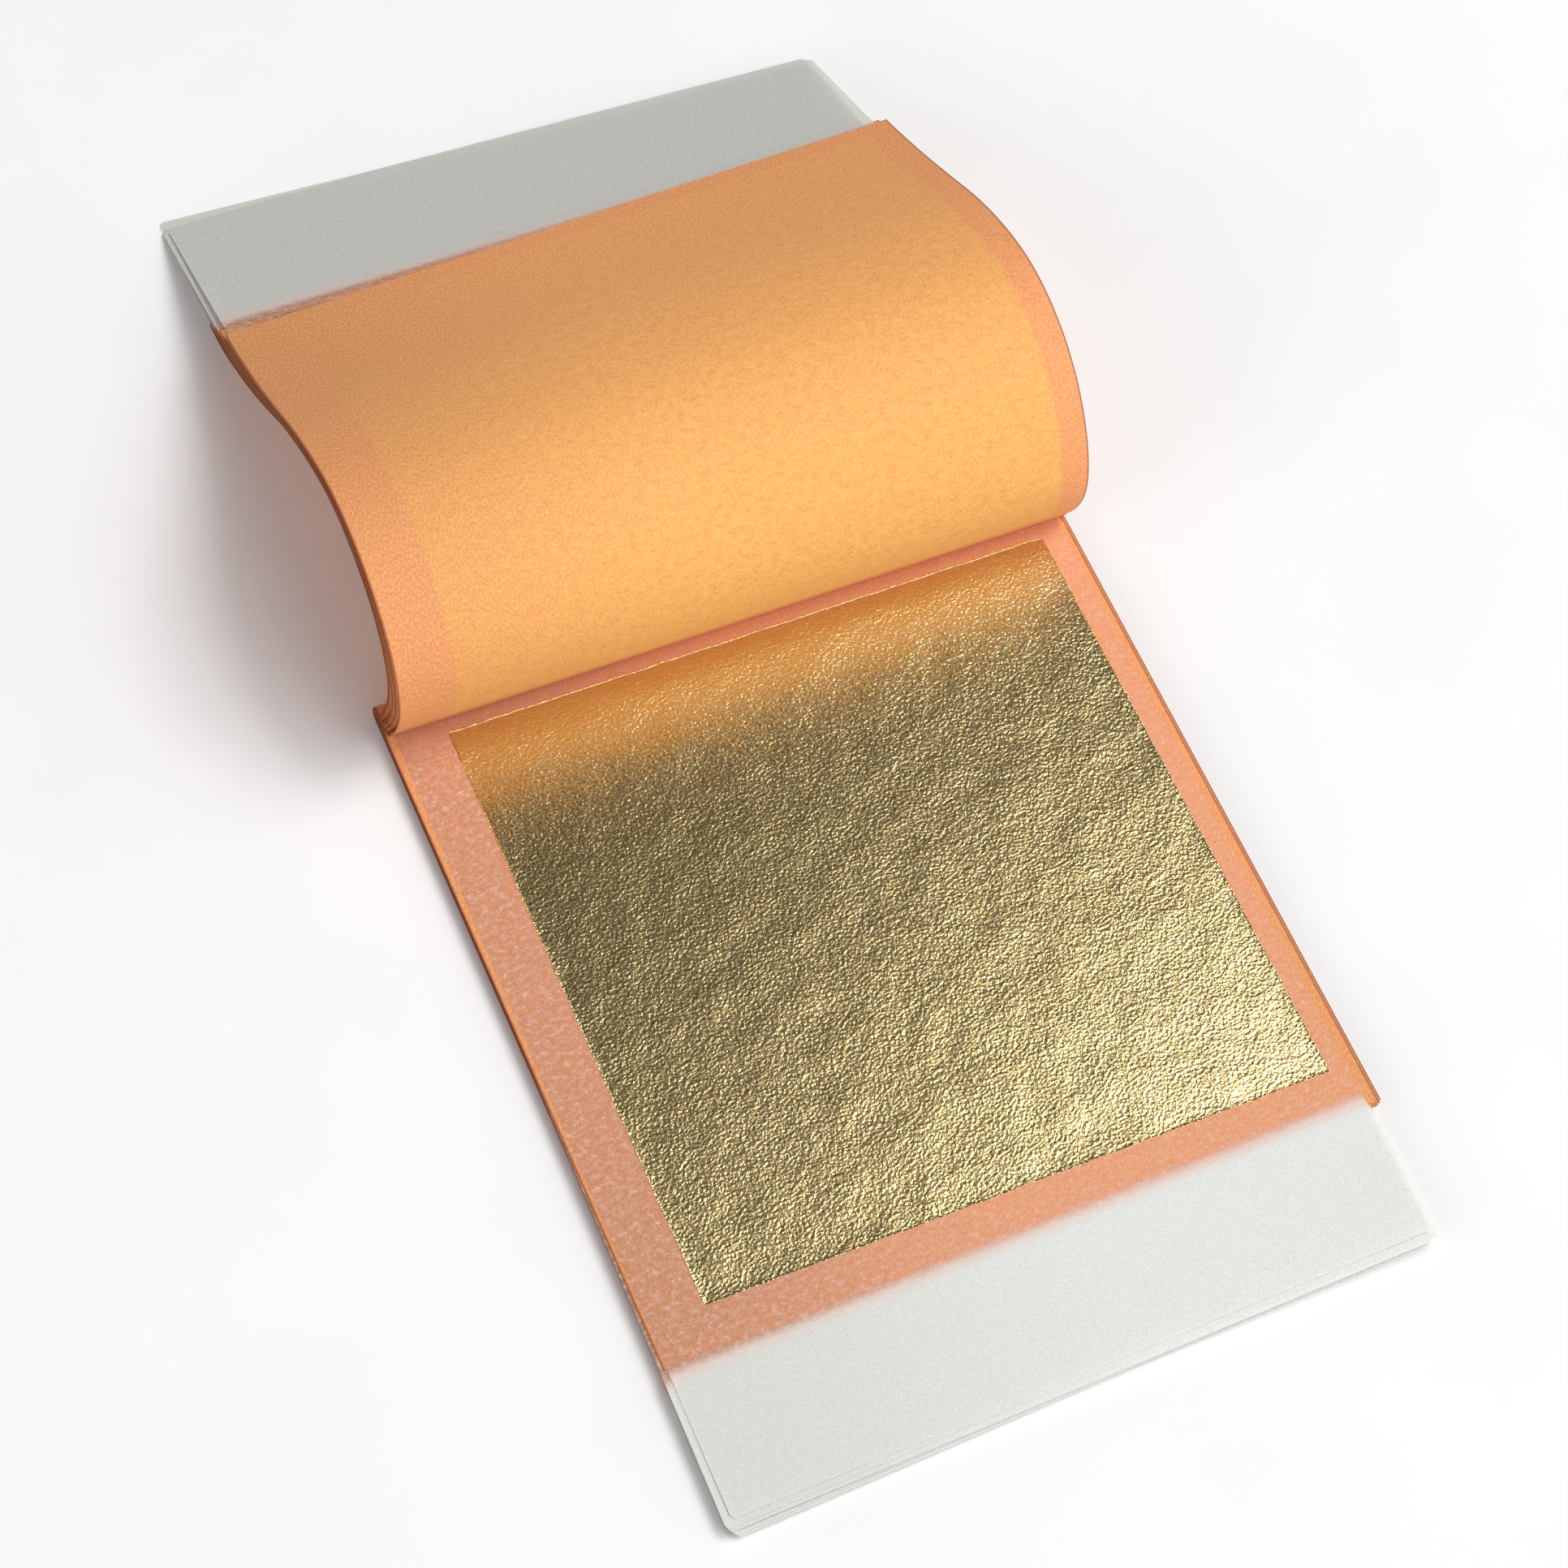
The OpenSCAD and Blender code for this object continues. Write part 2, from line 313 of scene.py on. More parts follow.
class Value:
    """A number or colour that varies over a surface. Python's operators on it add Math nodes."""

    def __init__(self, tree, socket):
        self.tree, self.socket = tree, socket

    def maths(self, operation, a, b=0.0):
        """A Math node on two numbers or values."""
        return self.tree.node("ShaderNodeMath", {"operation": operation}, {0: a, 1: b})[0]

    def __add__(self, other):
        return self.maths("ADD", self, other)

    def __radd__(self, other):
        return self.maths("ADD", other, self)

    def __sub__(self, other):
        return self.maths("SUBTRACT", self, other)

    def __rsub__(self, other):
        return self.maths("SUBTRACT", other, self)

    def __mul__(self, other):
        return self.maths("MULTIPLY", self, other)

    def __rmul__(self, other):
        return self.maths("MULTIPLY", other, self)

    def __abs__(self):
        return self.maths("ABSOLUTE", self)

    def least(self, other):
        """The lesser of two numbers."""
        return self.maths("MINIMUM", self, other)

    def rise(self, low, high):
        """0 up to low, 1 from high on, and eased in between."""
        return self.tree.node("ShaderNodeMapRange", {"interpolation_type": "SMOOTHSTEP"},
                              {"Value": self, "From Min": low, "From Max": high})["Result"]

    def spread(self, low, high, to_low, to_high):
        """Straight from to_low at low to to_high at high, and held past them."""
        return self.tree.node("ShaderNodeMapRange", {}, {"Value": self, "From Min": low, "From Max": high,
                              "To Min": to_low, "To Max": to_high})["Result"]


class Outputs:
    """A node's output sockets as values, by name or number."""

    def __init__(self, tree, node):
        self.tree, self.made = tree, node

    def __getitem__(self, key):
        return Value(self.tree, self.made.outputs[key])


class Nodes:
    """Makes and links the nodes of one tree."""

    def __init__(self, tree):
        self.nodes, self.links = tree.nodes, tree.links

    def put(self, socket, value):
        """Links a value to a socket or sets it to a number. None leaves it as it is."""
        if isinstance(value, Value):
            self.links.new(value.socket, socket)
        elif value is not None:
            socket.default_value = value

    def node(self, kind, settings, values):
        """Adds a node: its settings first, then the values or links of its sockets."""
        made = self.nodes.new(kind)
        for key, value in settings.items():
            setattr(made, key, value)
        for key, value in values.items():
            self.put(made.inputs[key], value)
        return Outputs(self, made)

    def parts(self, vector):
        """A vector's three numbers."""
        made = self.node("ShaderNodeSeparateXYZ", {}, {"Vector": vector})
        return made["X"], made["Y"], made["Z"]


class Finish(Nodes):
    """One node material with a Principled shader."""

    def __init__(self, name):
        self.material = bpy.data.materials.new(name)
        self.material.use_nodes = True
        super().__init__(self.material.node_tree)
        self.shader = self.nodes["Principled BSDF"]

    def surface(self, **values):
        """Sets or links the shader's sockets, named with _ for each space, and gives the material."""
        for key, value in values.items():
            self.put(self.shader.inputs[key.replace("_", " ")], value)
        return self.material

    def place(self):
        """The sheet's own map: x across and distance from its end by the spine, in map units."""
        return self.node("ShaderNodeUVMap", {"uv_map": "Sheet"}, {})["UV"]

    def solid_place(self):
        """The place in the part's own frame, in metres."""
        return self.node("ShaderNodeTexCoord", {}, {})["Object"]

    def stretched(self, vector, scale, turn=0.0):
        """A place scaled along its axes and turned about Z, in radians."""
        return self.node("ShaderNodeMapping", {}, {"Vector": vector, "Scale": scale,
                                                   "Rotation": (0, 0, turn)})["Vector"]

    def noise(self, vector, scale, detail=3.0, rough=0.5, distort=0.0):
        """Soft noise between 0 and 1, mostly near a half."""
        return self.node("ShaderNodeTexNoise", {}, {"Vector": vector, "Scale": scale, "Detail": detail,
                         "Roughness": rough, "Distortion": distort})["Fac"]

    def cells(self, vector, scale):
        """Distance from the middle of the nearest of many scattered cells, rounded off between them."""
        return self.node("ShaderNodeTexVoronoi", {"feature": "SMOOTH_F1"},
                         {"Vector": vector, "Scale": scale, "Smoothness": 0.4})["Distance"]

    def mix(self, share, a, b):
        """Colour a where share is 0, and b where it is 1. A Mix node takes colours in its sockets 6 and 7
        and gives one from socket 2."""
        return self.node("ShaderNodeMix", {"data_type": "RGBA"}, {0: share, 6: a, 7: b})[2]

    def bump(self, height, depth, over=None, strength=1.0):
        """Relief from a height that varies from 0 to 1, depth metres deep, laid over another relief."""
        return self.node("ShaderNodeBump", {}, {"Height": height, "Distance": depth, "Strength": strength,
                                                "Normal": over})["Normal"]


LEAF_HALF = LEAF / 2 / MAP_UNIT


def leaf_window(across, along):
    """1 over the place of the gold leaf on a page's own map and 0 outside it, with a soft edge."""
    middle, start, soft = (LEAF_X + 0.2) / MAP_UNIT, 6.6 / MAP_UNIT, 0.5 / MAP_UNIT
    from_side = LEAF_HALF - abs(across - middle)
    from_end = LEAF_HALF - abs(along - (start + LEAF_HALF))
    return from_side.least(from_end).rise(-soft, soft)


def rouged_paper():
    """Thin orange rouged paper: cloudy fibre, fine specks, painted shade on the cut edges at its sides,
    and painted light, yellower, where a leaf and its tissue behind show through, clearest by the crease.
    Painted shade darkens it toward the free edge and the left side."""
    plain, show_through_colour = (0.84, 0.305, 0.122, 1), (0.88, 0.435, 0.094, 1)
    painted_shade_colour, dark_cloud = (0.55, 0.215, 0.080, 1), (0.66, 0.225, 0.072, 1)
    pale_fibre, dark_speck = (0.97, 0.56, 0.23, 1), (0.42, 0.13, 0.05, 1)
    side_shade_colour = (0.30, 0.07, 0.03, 1)
    f = Finish("rouged_paper")
    here = f.place()
    across, along, _ = f.parts(here)
    cloud = f.noise(here, 75, 6, 0.75)
    fibre = f.noise(f.stretched(here, (1.0, 0.55, 1.0), 0.2), 420, 4, 0.7)
    speck = f.noise(here, 900, 2, 0.5).rise(0.66, 0.74)
    # painted light: the gold leaf behind showing through the paper, yellower, clearest by the crease
    window = leaf_window(across, along) * along.spread(0.25, 0.80, 1.0, 0.50)
    # painted shade: darker toward the left, away from the lamps on the right, and toward the free edge,
    # which slopes away from the light
    painted_shade = (1.0 - across.rise(-0.46, -0.02)) * 0.50 + along.rise(0.40, 0.88) * 0.45
    # painted shade on the cut edges at both sides, standing in for the stack's side in shadow
    side_shade = abs(across).rise(0.4520, 0.4545)
    colour = f.mix(window, plain, show_through_colour)
    colour = f.mix(painted_shade, colour, painted_shade_colour)
    colour = f.mix(cloud.spread(0.36, 0.64, 0.0, 0.60), colour, dark_cloud)
    colour = f.mix(fibre.spread(0.42, 0.66, 0.0, 0.60), colour, pale_fibre)
    colour = f.mix(speck * 0.25, colour, dark_speck)
    colour = f.mix(side_shade * 0.85, colour, side_shade_colour)
    relief = f.bump(fibre * 0.6 + cloud * 0.4, 0.00008)
    return f.surface(Base_Color=colour, Roughness=fibre.spread(0.3, 0.7, 0.62, 0.78), Normal=relief,
                     Specular_IOR_Level=0.35)


def carrier_tissue(name, dull, pale, edge):
    """Translucent grey tissue: a mesh of pale fibres that let part of what lies below show. It is denser
    past the page's edge, where orange dust has rubbed off on it, and painted shade darkens it by the
    spine and to the left. dull and pale are its colours past the page, and edge is the page's edge on its
    map."""
    shade, dust_colour, spine_shade_colour = (0.60, 0.585, 0.55, 1), (0.88, 0.49, 0.35, 1), (0.62, 0.33, 0.26, 1)
    rouge, left_shade_rouge, pale_knot = (0.86, 0.55, 0.42, 1), (0.62, 0.34, 0.24, 1), (1.0, 0.84, 0.72, 1)
    f = Finish(name)
    here = f.place()
    _, along, _ = f.parts(here)
    cloud = f.noise(here, 95, 4, 0.65)
    fibre = f.noise(f.stretched(here, (0.5, 1.0, 1.0), -0.15), 520, 4, 0.7, 0.4)
    knots = f.noise(f.stretched(here, (0.7, 1.0, 1.0), 0.3), 150, 5, 0.8).rise(0.42, 0.74)
    past = along.rise(edge - 0.010, edge + 0.006)
    dust = (1.0 - abs(along - edge).rise(0.0, 0.018)) * cloud.spread(0.3, 0.7, 0.35, 1.0)
    # painted shade by the spine, where the curl's foot overhangs the tissue
    spine = (1.0 - along.rise(0.030, 0.062)) * 0.55
    # painted shade: darker and denser toward the left, away from the lamps on the right
    left = 1.0 - f.parts(f.solid_place())[0].rise(-0.045, 0.010)
    past_page = f.mix(fibre.spread(0.30, 0.70, 0.0, 1.0), dull, pale)
    past_page = f.mix(left * 0.30, past_page, shade)
    over_page = f.mix(knots, f.mix(left, rouge, left_shade_rouge), pale_knot)
    colour = f.mix(past, over_page, past_page)
    colour = f.mix(dust * 0.55, colour, dust_colour)
    colour = f.mix(spine, colour, spine_shade_colour)
    veil = 0.05 + left * 0.10 + fibre.spread(0.40, 0.70, 0.0, 0.10) + knots * (0.24 - past * 0.16)
    veil = (veil + past * 0.46 + dust * 0.12).least(0.9)
    relief = f.bump(fibre, 0.00003, strength=0.7)
    return f.surface(Base_Color=colour, Roughness=0.6, Alpha=veil, Normal=relief, Specular_IOR_Level=0.2)


def gold_leaf():
    """Beaten gold: a grain of small facets, finer crinkles on them and soft folds and shallow dents under
    them, paler by the spine, with a crumpled line round its cut edge there."""
    deep, bright = (0.67, 0.50, 0.225, 1), (0.87, 0.705, 0.36, 1)
    by_spine, torn_edge = (0.80, 0.74, 0.46, 1), (0.80, 0.47, 0.08, 1)
    f = Finish("gold_leaf")
    here = f.place()
    grain = f.cells(f.stretched(here, (0.85, 1.0, 1.0), 0.12), 250)
    small = f.cells(here, 520)
    crease = f.noise(here, 290, 3, 0.6)
    fold = f.noise(here, 62, 4, 0.6)
    dent = f.noise(here, 14, 2, 0.5)
    across, along, _ = f.parts(here)
    to_edge = (LEAF_HALF - abs(across)).least(LEAF_HALF - abs(along - LEAF_HALF))
    torn = 1.0 - (to_edge + crease * 0.002).rise(0.0014, 0.0028)
    torn = torn * (1.0 - along.rise(0.08, 0.35) * 0.75)
    spine = 1.0 - along.rise(0.03, 0.11)
    colour = f.mix(crease.spread(0.35, 0.65, 0.0, 1.0), deep, bright)
    colour = f.mix(spine * 0.6, colour, by_spine)
    colour = f.mix(torn * 0.85, colour, torn_edge)
    relief = f.bump(dent, 0.00012)
    relief = f.bump(torn * small, 0.00018, relief)
    relief = f.bump(fold, 0.000020, relief)
    relief = f.bump(grain, 0.000030, relief)
    relief = f.bump(small * 0.3 + crease, 0.000036, relief)
    return f.surface(Base_Color=colour, Metallic=1.0, Roughness=crease.spread(0.3, 0.7, 0.16, 0.26),
                     Normal=relief)


def cotton_thread():
    """Twisted cotton: slanting ridges round the thread and a little fluff."""
    f = Finish("cotton_thread")
    where = f.solid_place()
    twist = f.node("ShaderNodeTexWave", {"bands_direction": "DIAGONAL"},
                   {"Vector": where, "Scale": 1600.0, "Distortion": 1.5, "Detail": 2.0})["Fac"]
    fluff = f.noise(where, 9000, 3, 0.6)
    colour = f.mix(twist * 0.7 + fluff * 0.3, (0.62, 0.55, 0.42, 1), (0.86, 0.81, 0.70, 1))
    relief = f.bump(twist + fluff * 0.4, 0.00004, strength=0.8)
    return f.surface(Base_Color=colour, Roughness=0.85, Normal=relief)


def white_table():
    """Smooth white table with a barely visible mottle."""
    f = Finish("white_table")
    mottle = f.noise(f.solid_place(), 40, 3, 0.5)
    share = mottle.spread(0.3, 0.7, 0.0, 1.0)
    colour = f.mix(share, (0.875, 0.875, 0.875, 1), (0.895, 0.895, 0.895, 1))
    return f.surface(Base_Color=colour, Roughness=0.6, Specular_IOR_Level=0.1)


PAPER, GOLD, THREAD = rouged_paper(), gold_leaf(), cotton_thread()
TISSUE = carrier_tissue("carrier_tissue", (0.82, 0.845, 0.81, 1), (0.965, 0.975, 0.95, 1), 0.892)
# A darker copy for the turned tissues, whose free ends slope away from the light: painted shade
SHADED_TISSUE = carrier_tissue("shaded_tissue", (0.655, 0.645, 0.603, 1), (0.815, 0.807, 0.768, 1), 0.846)

# Folded sheets


def columns(count):
    """Places across a sheet from -1 to 1, closer together near its edges."""
    return np.sin(np.linspace(-np.pi / 2, np.pi / 2, count)) * 0.3 + np.linspace(-1, 1, count) * 0.7


def lower_half(k):
    """Rows of the flat lower page of sheet k from its free edge to the fold, then round the fold: the
    circle's sine and cosine about the fold's centre. Gives y, height, and length past the middle of
    the fold."""
    z = level(k - 1) + PAGE_T
    r = (page_z(k) - z) / 2
    y_flat = np.linspace(PAGE_END_Y, FOLD_Y - 1.0, 24)
    turn = np.radians(np.linspace(-90, 90, 17))
    y = np.concatenate([y_flat, FOLD_Y + r * np.cos(turn)])
    height = np.concatenate([np.full(len(y_flat), z), FOLD_Z + r * np.sin(turn)])
    length = np.concatenate([[0], np.cumsum(np.hypot(np.diff(y), np.diff(height)))])
    return y, height, length - length[-1] + r * np.pi / 2


def folded_sheet(k):
    """Sheet k with its flat lower page, its fold, and its upper page: flat, or turned over the spine. The
    turning sheet's upper page is made apart.
    """
    x = columns(41 if k < TURNED else 25) * PAGE_W / 2
    side = sheet_jitter(k, 0.2)
    y, z, length = lower_half(k)
    y, z = y[:, None] + 0 * x, z[:, None] + 0 * x
    lift = stack_lift(x + side)[None, :]
    points = grid(x[None, :] + side, y, z + lift)
    places = np.broadcast_to(length[:, None], y.shape)
    if k > TURNED:
        back = np.linspace(0, 1, 24)[1:, None]
        top_y = FOLD_Y + (PAGE_END_Y + 0.25 * np.sin(2.3 * k) - FOLD_Y) * back + 0 * x
        upper = grid(x[None, :] + side, top_y, page_z(k) + lift)
        fold_radius = (page_z(k) - level(k - 1) - PAGE_T) / 2
        run = fold_radius * np.pi / 2 + FOLD_Y - top_y
    elif k < TURNED:
        path_y, path_z = turned_page_path(x, k)
        length_k = running_length(path_y, path_z)
        s = rows(PAGE_L_TURNED - 0.3 + 0.35 * np.sin(1.9 * k), 1.0)[1:]
        place = np.interp(s, length_k[:, len(x) // 2], np.arange(len(length_k)))[:, None] + 0 * x
        top_y, top_z = sample(path_y, place), sample(path_z, place)
        ends = smooth((s - 60) / 32)[:, None]
        wave = 0.16 * waves(x[None, :], s[:, None], 10 + k, 45) * ends
        upper = grid(x[None, :] + side, top_y, top_z + wave + lift * smooth(1 - s / 6)[:, None])
        run = s[:, None] + 0 * x
    else:
        upper, run = None, None
    if upper is not None:
        points = np.concatenate([points, upper])
        places = np.concatenate([places, run])
    uv = np.stack([(points[..., 0] - side) / MAP_UNIT, np.abs(places) / MAP_UNIT], -1)
    piece = sheet(f"page_sheet_{k}", points, uv, 0, PAGE_T, "rouged_paper", PAPER)
    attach(piece, "booklet")
    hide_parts(f"folded_sheet_{k}")


for k in range(1, SHEETS + 1):
    folded_sheet(k)

# The turning page


def turning_page():
    """The turning page in pieces that each span one hinge, and a last one on the last strip. They are cut
    from one smooth surface at the middles of the stiff strips, so that they meet there without a step."""
    x = columns(49) * PAGE_W / 2
    s, y, z, _ = curl_path(x, True)
    hinges = [np.array(j["pos_m"]) * 1000 for j in frame["joints"] if j["name"].startswith("page_")]
    low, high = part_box(f"turning_page_strip_{len(hinges)}")
    tip = np.array([0, high[1], low[2]]) * 1000
    points = hinges + [tip]
    middle_y, middle_z = y[:, len(x) // 2], z[:, len(x) // 2]

    def nearest(point):
        """Distance along the page's middle line where, past the crease, it passes nearest a point."""
        away = np.hypot(middle_y - point[1], middle_z - point[2])
        return s[np.argmin(away[s > -0.5]) + np.sum(s <= -0.5)]

    middles = [nearest((a + b) / 2) for a, b in zip(points[:-1], points[1:])]
    cuts = [-FOLD_Y] + middles + [PAGE_L_TURNED - FOLD_Y]
    spans = list(zip(cuts[:-1], cuts[1:]))
    counts = [max(4, int(round((b - a) / 0.8))) for a, b in spans]
    rows_s = np.concatenate([np.linspace(a, b, n + 1)[:-1] for (a, b), n in zip(spans, counts)]
                            + [[cuts[-1]]])
    place = ((rows_s + FOLD_Y) / FINE)[:, None] + 0 * x
    wave = 0.08 * waves(x[None, :], rows_s[:, None], 3, 60) * smooth((rows_s - 20) / 60)[:, None]
    side = sheet_jitter(TURNED, 0.3)
    lift = stack_lift(x + side)[None, :] * smooth(1 - rows_s / 6)[:, None]
    top_y, top_z = sample(y, place), sample(z, place) + lift + wave
    surface = grid(x[None, :] + side, top_y, top_z)
    normal = normals(surface)
    uv = sheet_map(x[None, :] + 0 * place, rows_s + FOLD_Y - 1.8)
    start = 0
    for i, count in enumerate(counts):
        end = start + count
        part = slice(start, end + 1)
        name = "turning_page_foot" if i == 0 else f"turning_page_{i}"
        piece = sheet(name, surface[part], uv[part], 0, PAGE_T, "rouged_paper", PAPER, normal[part])
        if i < len(hinges):
            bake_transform(piece)
            if i > 0:
                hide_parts(f"turning_page_strip_{i}")
        else:
            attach(piece, f"page_strip_{i}")
            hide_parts(f"turning_page_strip_{i}")
        start = end


turning_page()

# Tissues and leaves on the turned pages


# How far along the curl, in mm, the right edge of each turned tissue lies past its middle
SKEWS = (-2.1, -1.9, -2.1, -1.8, -2.0)
# How far tissue k lies from turned page k toward page k + 1, as a share of the room between them
TISSUE_SHARE = 0.42


def on_curl(x, pages, places, askew):
    """Grid of y and z a number of pages under the turning page: at each x, at places along the path of
    the middle column, moved on by askew."""
    y, z, _ = under_curl(x, pages)
    mid = running_length(y, z)[:, len(x) // 2]
    wanted = np.interp(places, mid, np.arange(len(mid)))[:, None] + askew / FINE
    return sample(y, wanted), sample(z, wanted)


def turned_tissue(k):
    """Tissue k and its leaf, between turned pages k and k + 1. The tissue runs on past the pages to the
    table, and lies a little askew: its places along the curl shift in proportion to x."""
    pages = TURNED - TISSUE_SHARE - k
    side = sheet_jitter(k + 3, 0.4) - 0.5
    skew = SKEWS[k - 1]
    first = 2.7 - 0.35 * (TURNED - 1 - k)
    s_rows = rows(TISSUE_L, 1.1, TISSUE_CORNER)
    u = columns(41)
    x = rounded(u, s_rows, TISSUE_L, TISSUE_W, TISSUE_CORNER)
    wave = 0.10 * waves(x, s_rows[:, None], 30, 40) * smooth((s_rows - 88) / 20)[:, None]
    top_y, top_z = on_curl(u * TISSUE_W / 2, pages, s_rows + first, skew * u[None, :])
    top_z = top_z + wave
    # the free ends settle on the table, one on the other
    floor = 0.06 + 0.055 * (k - 1)
    top_z = floor + np.maximum(top_z - floor, 0) + 0.02 * smooth((floor - top_z) / 0.5)
    tissue = sheet(f"far_tissue_{k}", grid(x + side, top_y, top_z), sheet_map(x, s_rows),
                   -TISSUE_T / 2, TISSUE_T / 2, "carrier_tissue", SHADED_TISSUE)
    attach(tissue, "booklet")
    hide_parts(f"turned_tissue_{k}")
    leaf_rows = rows(LEAF, 1.1)
    x = columns(37)[None, :] * LEAF / 2 + LEAF_X + 0 * leaf_rows[:, None]
    top_y, top_z = on_curl(x[0], pages, leaf_rows + first + 2.8, skew * x / 45)
    lie = TISSUE_T / 2 + TURNED_LEAF_GAP
    leaf = sheet(f"far_leaf_{k}", grid(x + side, top_y, top_z), sheet_map(x, leaf_rows),
                 lie, lie + LEAF_T, "gold_leaf", GOLD)
    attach(leaf, "booklet")
    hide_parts(f"turned_leaf_{k}")


for k in range(1, TURNED):
    turned_tissue(k)

# Tissues and leaves of the flat stack


def flat_tissue(k, fine=False):
    """Points and map of tissue k on the page below it, with rounded corners and its own slight turn
    about Z. The open one is finer, and its free corners stand a little clear of the tissue below."""
    z = page_z(k + 1) + PAGE_T + TISSUE_GAP + TISSUE_T / 2
    s_rows = rows(TISSUE_L, 1.6 if fine else 6.0, TISSUE_CORNER)
    u = columns(41 if fine else 25)
    x = rounded(u, s_rows, TISSUE_L, TISSUE_W, TISSUE_CORNER)
    side = -0.5 if fine else sheet_jitter(k, 0.45) - 0.75
    skew = 0.95 + (0.35 if fine else 0.8) * np.sin(2.1 * k)
    spine_room = 2.9 if fine else 3.5
    shift = 0.0 if fine else 0.6 * np.sin(71 * k)
    y = SPINE_Y - spine_room - s_rows[:, None] + skew * x / 45 + shift
    x_turned = x + side - 0.35 * skew * (s_rows[:, None] - 55) / 45
    lift = stack_lift(x_turned)
    if fine:
        free = smooth((s_rows - 94) / 14)[:, None]
        lift = lift + free * (0.10 + 0.25 * smooth((x - 25) / 20) + 0.06 * np.sin(x / 7))
    return grid(x_turned, y, z + lift), sheet_map(x, s_rows, 0.137 * k)


def flat_leaf(k, fine=False):
    """Points and map of leaf k on its tissue. The open leaf has a slightly uneven outline, creases along
    its edges, and a low crinkled relief that stays on the upper side of the tissue."""
    z = page_z(k + 1) + PAGE_T + (OPEN_LEAF_GAP if fine else LEAF_GAP) + TISSUE_T
    s_rows = rows(LEAF, 0.55 if fine else 8.0)
    u = columns(151 if fine else 17)
    x = u[None, :] * LEAF / 2 + 0 * s_rows[:, None]
    side = LEAF_X + (0.0 if fine else sheet_jitter(k, 0.3))
    y = LEAF_Y - s_rows[:, None] + 0 * x
    lift = stack_lift(x + side)
    if fine:
        to_side = LEAF / 2 - np.abs(x)
        to_end = np.minimum(s_rows, LEAF - s_rows)[:, None] + 0 * x
        x = x + 0.05 * waves(s_rows[:, None], 0 * x, 5, 3) * np.sign(x) * smooth(1 - to_side / 4)
        y = y + 0.05 * waves(x, 0 * y, 6, 3) * smooth(1 - to_end / 4)
        edge = np.minimum(to_side, to_end)
        curled = smooth(1 - edge / 0.9) * (0.5 + 0.5 * waves(x, y, 7, 3.0))
        lift = lift + 0.010 * (1 + waves(x, y, 8, 7.0)) + 0.03 * np.clip(curled, 0, 1)
    return grid(x + side, y, z + lift), sheet_map(x, s_rows)


for k in range(TURNED, TURNED + SLIDING):
    body = f"leaf_on_tissue_{k}"
    tissue = sheet(f"tissue_{k}", *flat_tissue(k, k == TURNED), -TISSUE_T / 2, TISSUE_T / 2,
                   "carrier_tissue", TISSUE)
    leaf = sheet(f"leaf_{k}", *flat_leaf(k, k == TURNED), 0, LEAF_T, "gold_leaf", GOLD)
    for piece, node in ((tissue, f"carrier_tissue_{k}"), (leaf, f"gold_leaf_{k}")):
        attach(piece, body)
        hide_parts(node)

for k in range(TURNED + SLIDING, 2 * SHEETS):
    tissue = sheet(f"lower_tissue_{k}", *flat_tissue(k), -TISSUE_T / 2, TISSUE_T / 2,
                   "carrier_tissue", TISSUE)
    leaf = sheet(f"lower_leaf_{k}", *flat_leaf(k), 0, LEAF_T, "gold_leaf", GOLD)
    for piece, node in ((tissue, "lower_tissues"), (leaf, "lower_leaves")):
        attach(piece, "lower_leaves_on_tissues")
        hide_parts(node)

thread = frame["nodes"]["sewing_thread"]
thread.data.materials.clear()
thread.data.materials.append(THREAD)

# Table, lights and camera


def table():
    """A flat square table top, 3 m wide, its face at height 0."""
    half = 1.5
    corners = [(-half, -half, 0), (half, -half, 0), (half, half, 0), (-half, half, 0)]
    mesh = bpy.data.meshes.new("table_top")
    mesh.from_pydata(corners, [], [(0, 1, 2, 3)])
    mesh.materials.append(white_table())
    top = bpy.data.objects.new("table_top", mesh)
    bpy.context.scene.collection.objects.link(top)


def softbox(name, direction, distance, size, power, colour=(1, 1, 1)):
    """A square lamp that faces the booklet from a direction. Distance and size are in metres, and power
    is in watts."""
    toward = np.array(direction) / np.linalg.norm(direction)
    lamp = bpy.data.lights.new(name, "AREA")
    lamp.shape, lamp.size, lamp.energy, lamp.color = "SQUARE", size, power, colour
    made = bpy.data.objects.new(name, lamp)
    bpy.context.scene.collection.objects.link(made)
    aside = np.cross([0, 0, 1], toward)
    aside = aside / np.linalg.norm(aside)
    turn = np.stack([aside, np.cross(toward, aside), toward], 1)
    made.matrix_world = Matrix([[*r, p] for r, p in zip(turn, toward * distance)] + [[0, 0, 0, 1]])


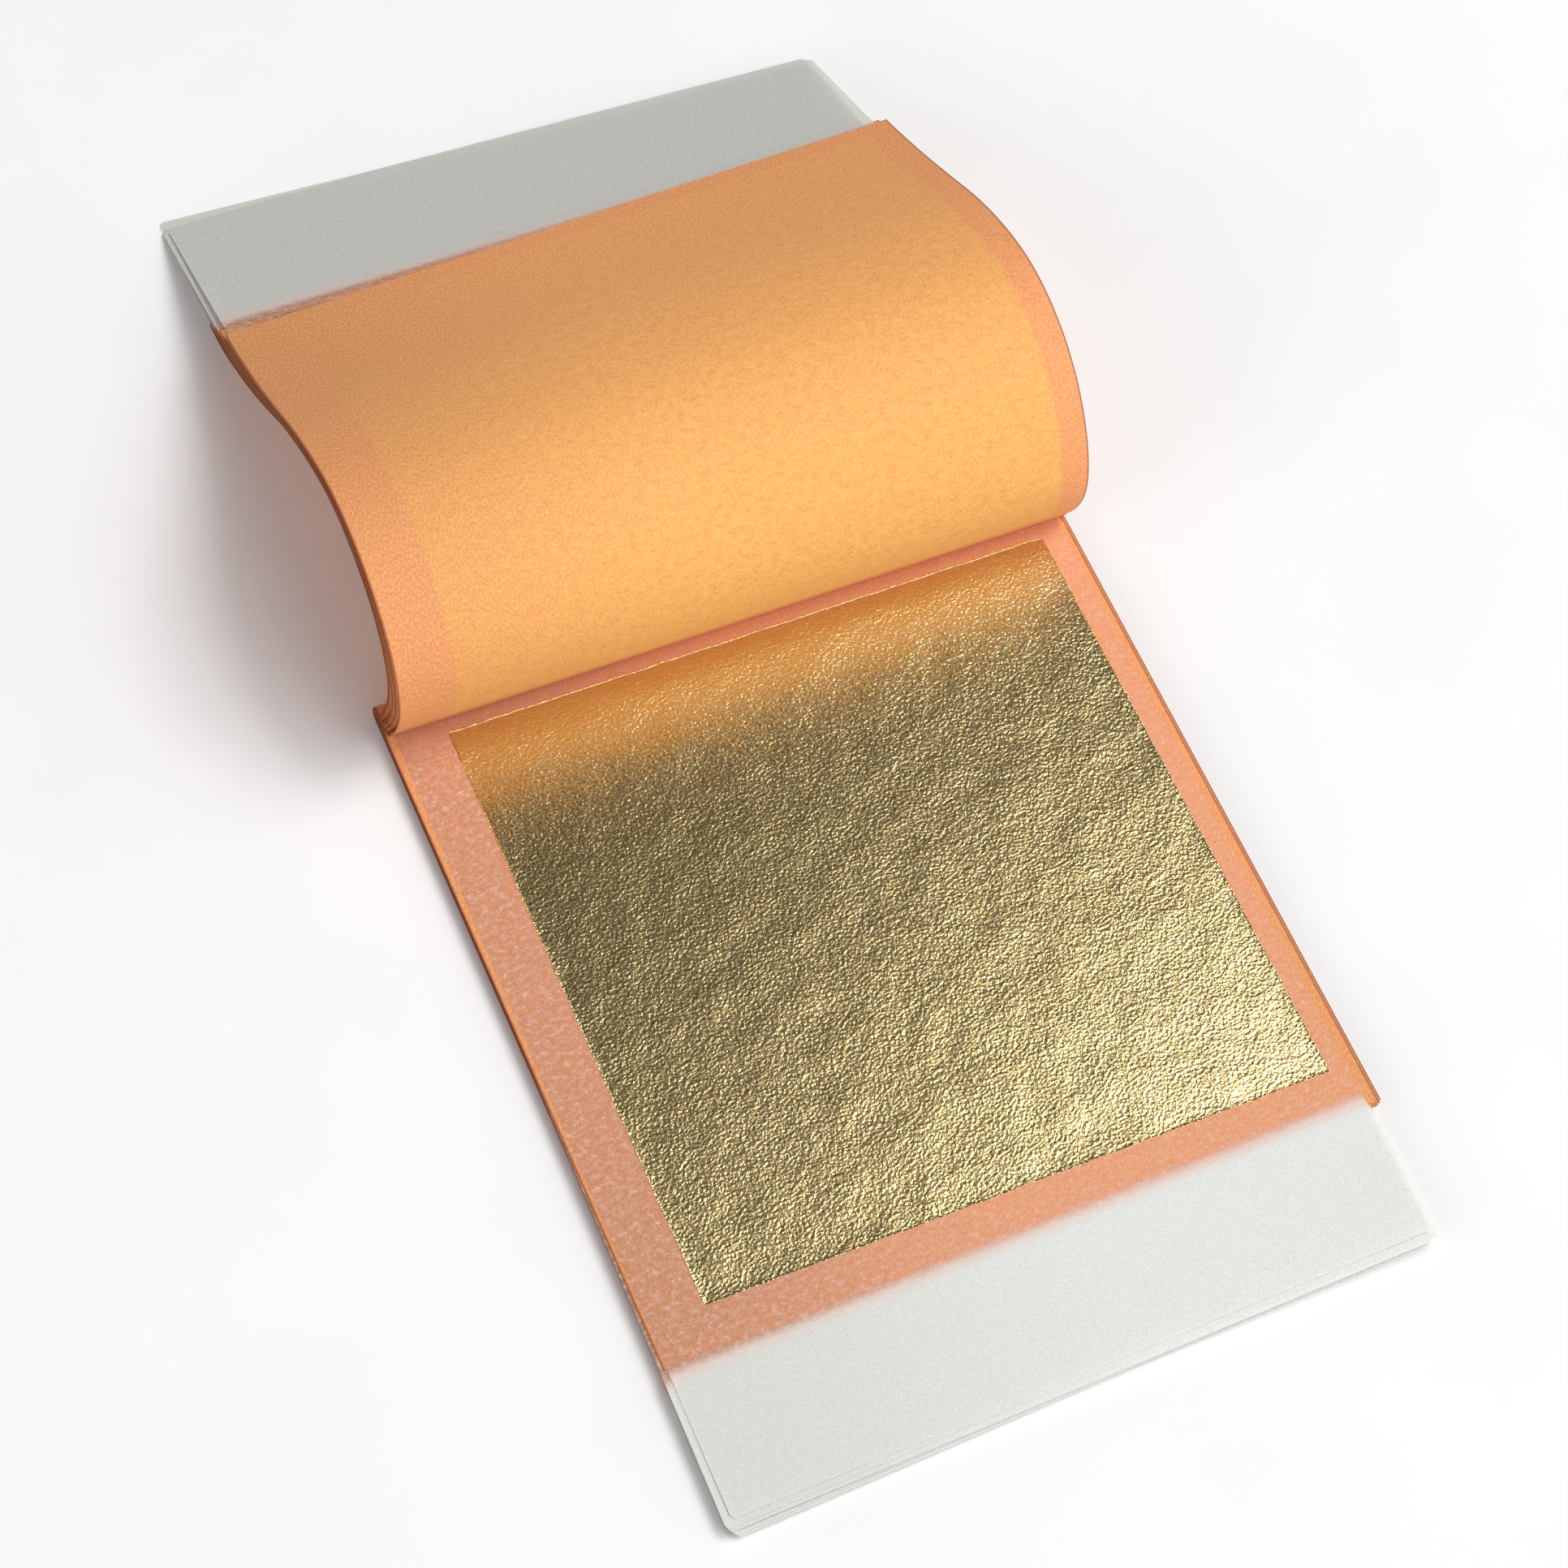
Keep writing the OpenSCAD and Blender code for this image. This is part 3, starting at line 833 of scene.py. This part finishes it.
def studio_walls():
    """Pale studio: a band of wall round the horizon, brightest to the left, and a wide ceiling glow that
    grows with how far a direction leans to the front right."""
    world = bpy.data.worlds.new("studio")
    bpy.context.scene.world = world
    world.use_nodes = True
    walls = Nodes(world.node_tree)
    where = walls.node("ShaderNodeTexCoord", {}, {})["Generated"]

    def leaning(direction):
        """How far each direction leans a given way: their dot product."""
        return walls.node("ShaderNodeVectorMath", {"operation": "DOT_PRODUCT"},
                          {0: where, 1: direction})["Value"]

    def glow(value, low, high, from_strength, to_strength):
        """One strength up to low, another from high on, and eased in between."""
        return walls.node("ShaderNodeMapRange", {"interpolation_type": "SMOOTHSTEP"},
                          {"Value": value, "From Min": low, "From Max": high,
                           "To Min": from_strength, "To Max": to_strength})["Result"]

    band = glow(walls.parts(where)[2], 0.15, 0.55, 1.8, 0.0)
    to_left = glow(leaning((-1.0, 0.0, 0.0)), -0.1, 0.9, 0.10, 1.0)
    ceiling = glow(leaning((0.60, -0.60, 0.53)), 0.30, 0.85, 0.05, 0.9)
    background = walls.nodes["Background"].inputs
    walls.put(background["Strength"], band * to_left + ceiling)
    walls.put(background["Color"], (1, 1, 1, 1))


table()
studio_walls()
softbox("front_softbox", (0.36, -0.36, 0.86), 1.5, 0.9, 7.5)
softbox("top_softbox", (0.50, 0.00, 0.86), 1.5, 0.6, 8.0)
softbox("left_softbox", (-0.85, -0.20, 0.40), 1.2, 0.8, 3.0, (1.0, 0.91, 0.94))

# The camera looks down from the left at 60 degrees. Its axes have no unit, and its place is in metres
camera_data = bpy.data.cameras.new("camera")
camera_data.lens, camera_data.sensor_width = 94.57, 36.0
camera = bpy.data.objects.new("camera", camera_data)
bpy.context.scene.collection.objects.link(camera)
right = (0.91476132, -0.39681098, 0.07584702)
up = (0.31168674, 0.81264446, 0.49240264)
back = (-0.25702743, -0.42679038, 0.86705644)
place = (-0.13132, -0.23597, 0.43445)
camera.matrix_world = Matrix([[right[i], up[i], back[i], place[i]] for i in range(3)] + [[0, 0, 0, 1]])
bpy.context.scene.camera = camera

scene = bpy.context.scene
scene.view_settings.view_transform = "Standard"
scene.cycles.transparent_max_bounces = 32
scene.cycles.diffuse_bounces = 8
